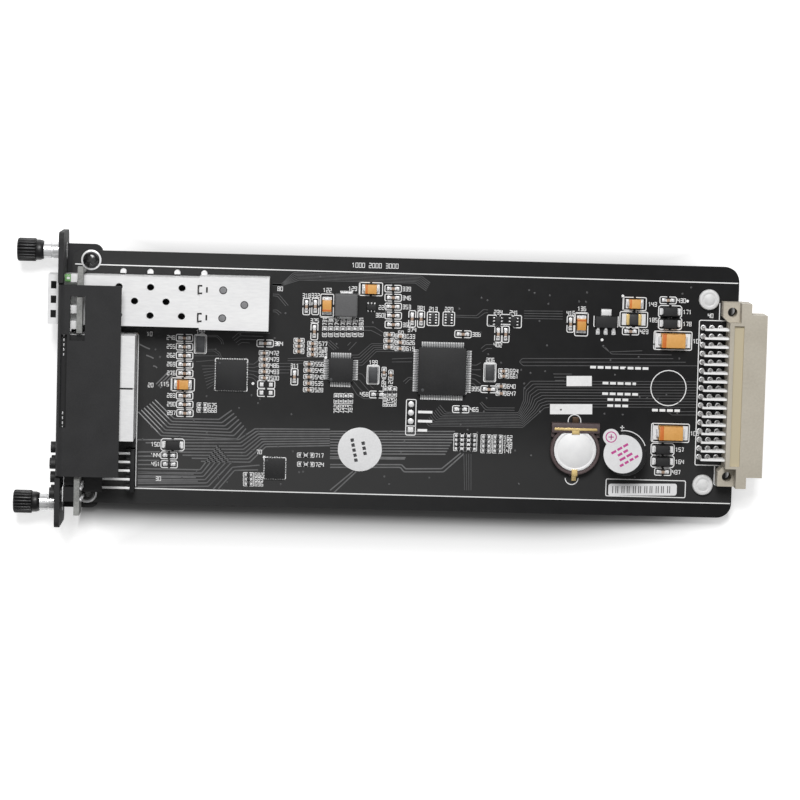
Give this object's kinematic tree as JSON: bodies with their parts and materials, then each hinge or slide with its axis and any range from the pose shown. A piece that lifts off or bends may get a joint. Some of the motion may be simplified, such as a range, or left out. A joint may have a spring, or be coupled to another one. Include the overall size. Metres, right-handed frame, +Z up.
{
  "type": "lan management unit",
  "caption": "Plug-in network management card: black board with folded front panel, captive thumbscrews, optics cage, network jacks, push keys and a rear backplane connector.",
  "frame": {"origin": "under the middle of the whole card, on the plane of the panel's lower edge and the rear stud feet", "axes": "+X from the front panel to the backplane connector, +Y across the card towards the optics cage, +Z up from the component side"},
  "size_m": [0.2182, 0.0856, 0.0205],
  "materials": {
    "panel_black": "satin powder coat",
    "board_black": "semi-gloss solder mask",
    "tin_steel": "bright tin plate",
    "nickel": "bright nickel",
    "knob_black": "black oxide",
    "key_black": "matt moulded",
    "beige_plastic": "matt moulded",
    "black_plastic": "matt moulded",
    "chip_black": "matt epoxy",
    "gold_contact": "gold flash",
    "tantalum_orange": "moulded epoxy",
    "ceramic_tan": "fired ceramic",
    "resistor_black": "glazed",
    "ferrite_grey": "moulded powder",
    "fuse_body": "ceramic with gold ends",
    "crystal_can": "seam-welded lid",
    "holder_brown": "matt moulded",
    "cell_steel": "nickel plate",
    "nylon_white": "natural nylon",
    "screw_black": "black zinc",
    "lamp_clear": "clear and green lenses"
  },
  "bodies": {
    "card": {"main_board": "board_black", "front_panel": "panel_black", "lamp_board": "board_black", "key_board": "board_black", "optics_cage": "tin_steel", "optics_cover": "tin_steel", "optics_socket": "black_plastic", "jack_shield_1": "tin_steel", "jack_shield_2": "tin_steel", "jack_insert_1": "black_plastic", "jack_insert_2": "black_plastic", "jack_contacts": "gold_contact", "status_lamps": "lamp_clear", "switch_bodies": "black_plastic", "link_header": "black_plastic", "link_socket": "black_plastic", "link_pins": "gold_contact", "backplane_housing": "beige_plastic", "backplane_contacts": "gold_contact", "support_studs": "nylon_white", "board_screws": "screw_black", "processor_chip": "chip_black", "interface_chip": "chip_black", "network_chip": "chip_black", "clock_chip": "chip_black", "power_inductor": "ferrite_grey", "regulator": "chip_black", "regulator_leads": "nickel", "tantalum_capacitors": "tantalum_orange", "diodes": "chip_black", "fuse": "fuse_body", "crystals": "crystal_can", "small_chips": "chip_black", "resistor_arrays": "resistor_black", "ceramic_capacitors": "ceramic_tan", "chip_resistors": "resistor_black", "battery_holder": "holder_brown", "coin_cell": "cell_steel", "battery_clip": "gold_contact", "buzzer": "black_plastic", "upper_ferrule": "nickel", "lower_ferrule": "nickel"},
    "upper_slide": {"upper_retaining_ring": "tin_steel"},
    "upper_turn": {"upper_screw": "tin_steel", "upper_knob": "knob_black"},
    "lower_slide": {"lower_retaining_ring": "tin_steel"},
    "lower_turn": {"lower_screw": "tin_steel", "lower_knob": "knob_black"},
    "key_1": {"key_1": "key_black"},
    "key_2": {"key_2": "key_black"},
    "key_3": {"key_3": "key_black"},
    "key_4": {"key_4": "key_black"},
    "key_5": {"key_5": "key_black"},
    "key_6": {"key_6": "key_black"}
  },
  "joints": [
    {"name": "upper_thumbscrew_slide", "type": "slide", "parent": "card", "child": "upper_slide", "axis": [1, 0, 0], "range_m": [0, 0.004]},
    {"name": "upper_thumbscrew_turn", "type": "hinge", "parent": "upper_slide", "child": "upper_turn", "pos_m": [-0.1, 0.0369, 0.0072], "axis": [1, 0, 0], "continuous": true},
    {"name": "lower_thumbscrew_slide", "type": "slide", "parent": "card", "child": "lower_slide", "axis": [1, 0, 0], "range_m": [0, 0.004]},
    {"name": "lower_thumbscrew_turn", "type": "hinge", "parent": "lower_slide", "child": "lower_turn", "pos_m": [-0.1, -0.0369, 0.0072], "axis": [1, 0, 0], "continuous": true},
    {"name": "key_1_press", "type": "slide", "parent": "card", "child": "key_1", "axis": [1, 0, 0], "range_m": [0, 0.00025], "stiffness_N_per_m": 300},
    {"name": "key_2_press", "type": "slide", "parent": "card", "child": "key_2", "axis": [1, 0, 0], "range_m": [0, 0.00025], "stiffness_N_per_m": 300},
    {"name": "key_3_press", "type": "slide", "parent": "card", "child": "key_3", "axis": [1, 0, 0], "range_m": [0, 0.00025], "stiffness_N_per_m": 300},
    {"name": "key_4_press", "type": "slide", "parent": "card", "child": "key_4", "axis": [1, 0, 0], "range_m": [0, 0.00025], "stiffness_N_per_m": 300},
    {"name": "key_5_press", "type": "slide", "parent": "card", "child": "key_5", "axis": [1, 0, 0], "range_m": [0, 0.00025], "stiffness_N_per_m": 300},
    {"name": "key_6_press", "type": "slide", "parent": "card", "child": "key_6", "axis": [1, 0, 0], "range_m": [0, 0.00025], "stiffness_N_per_m": 300}
  ]
}
